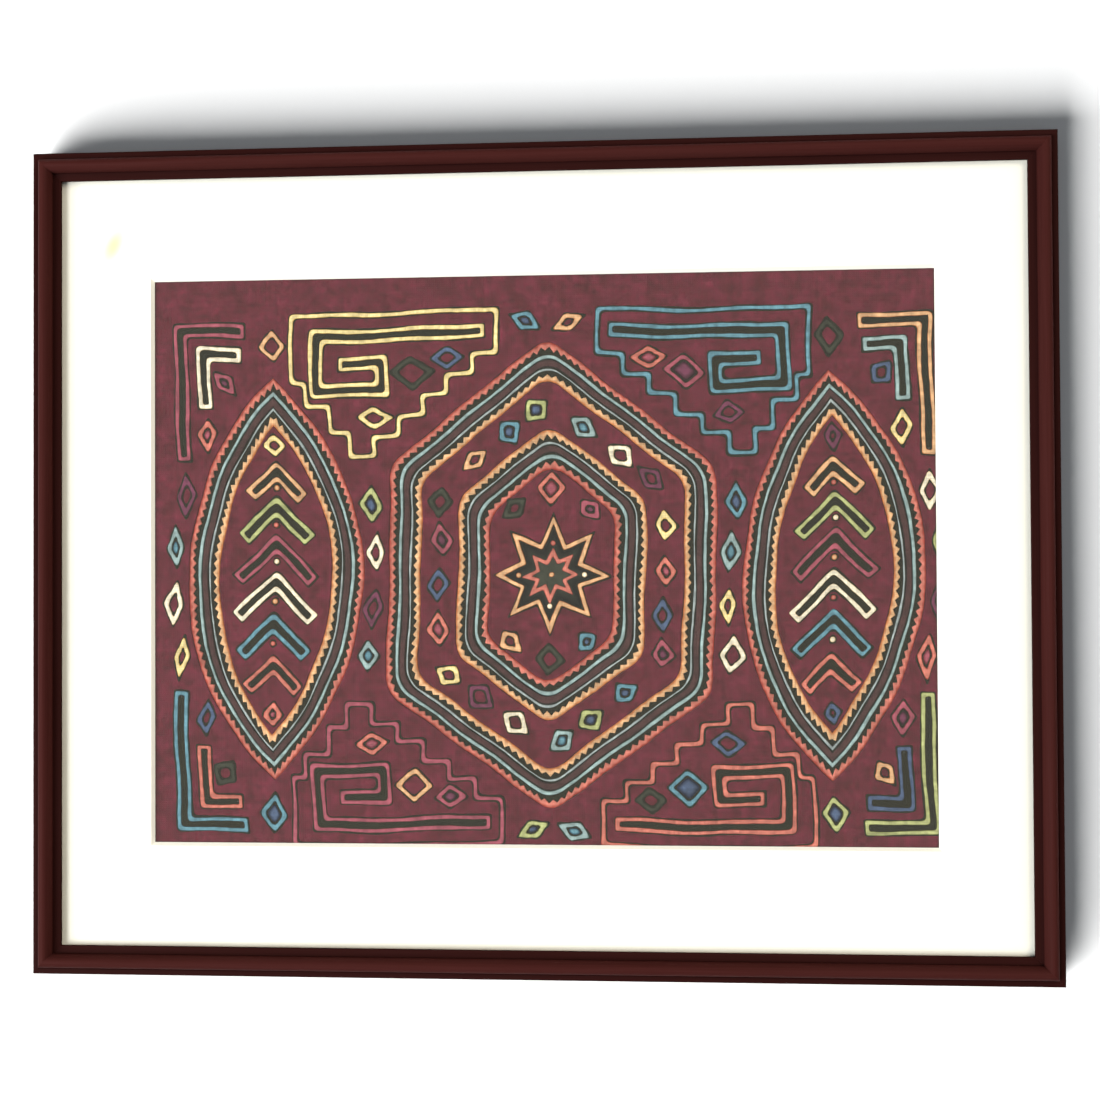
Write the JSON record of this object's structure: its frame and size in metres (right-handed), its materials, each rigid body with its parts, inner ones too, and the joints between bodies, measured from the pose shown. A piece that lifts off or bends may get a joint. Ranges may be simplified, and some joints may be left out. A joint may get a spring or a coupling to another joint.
{
  "type": "mola cloth panel in a glazed wooden picture frame",
  "caption": "Reverse-applique cotton mola panel under glass, with a white bevelled mat, a backing board and a mitred dark wooden frame.",
  "frame": {"origin": "middle of the frame's back, on the surface that the panel lies on", "axes": "+X to the right of the picture, +Y to its top, +Z out of its face"},
  "size_m": [0.524, 0.426, 0.02],
  "materials": {
    "stained_wood": "satin",
    "picture_glass": "gloss",
    "mat_board": "matte paper-faced board",
    "backing_board": "matte hardboard",
    "black_cotton": "plain weave",
    "burgundy_cotton": "plain weave",
    "coral_cotton": "plain weave",
    "aqua_cotton": "plain weave",
    "pale_cotton": "plain weave",
    "gold_cotton": "plain weave",
    "green_cotton": "plain weave"
  },
  "bodies": {
    "root": {"rail_top": "stained_wood", "rail_left": "stained_wood", "rail_bottom": "stained_wood", "rail_right": "stained_wood", "glass_pane": "picture_glass", "mat_board": "mat_board", "backing_board": "backing_board", "mola_under_cloth": "black_cotton", "mola_top_cloth": "burgundy_cotton", "hexagon_coral": "coral_cotton", "hexagon_aqua": "aqua_cotton", "hexagon_core": "burgundy_cotton", "hexagon_pale": "pale_cotton", "hexagon_gold": "gold_cotton", "hexagon_ring": "burgundy_cotton", "heart_gold": "gold_cotton", "heart_pale": "pale_cotton", "heart_core": "burgundy_cotton", "heart_aqua": "aqua_cotton", "heart_coral": "coral_cotton", "heart_field": "burgundy_cotton", "heart_star": "green_cotton", "left_leaf_coral": "coral_cotton", "left_leaf_aqua": "aqua_cotton", "left_leaf_core": "burgundy_cotton", "left_leaf_pale": "pale_cotton", "left_leaf_gold": "gold_cotton", "left_leaf_field": "burgundy_cotton", "right_leaf_coral": "coral_cotton", "right_leaf_aqua": "aqua_cotton", "right_leaf_core": "burgundy_cotton", "right_leaf_pale": "pale_cotton", "right_leaf_gold": "gold_cotton", "right_leaf_field": "burgundy_cotton"}
  },
  "joints": []
}
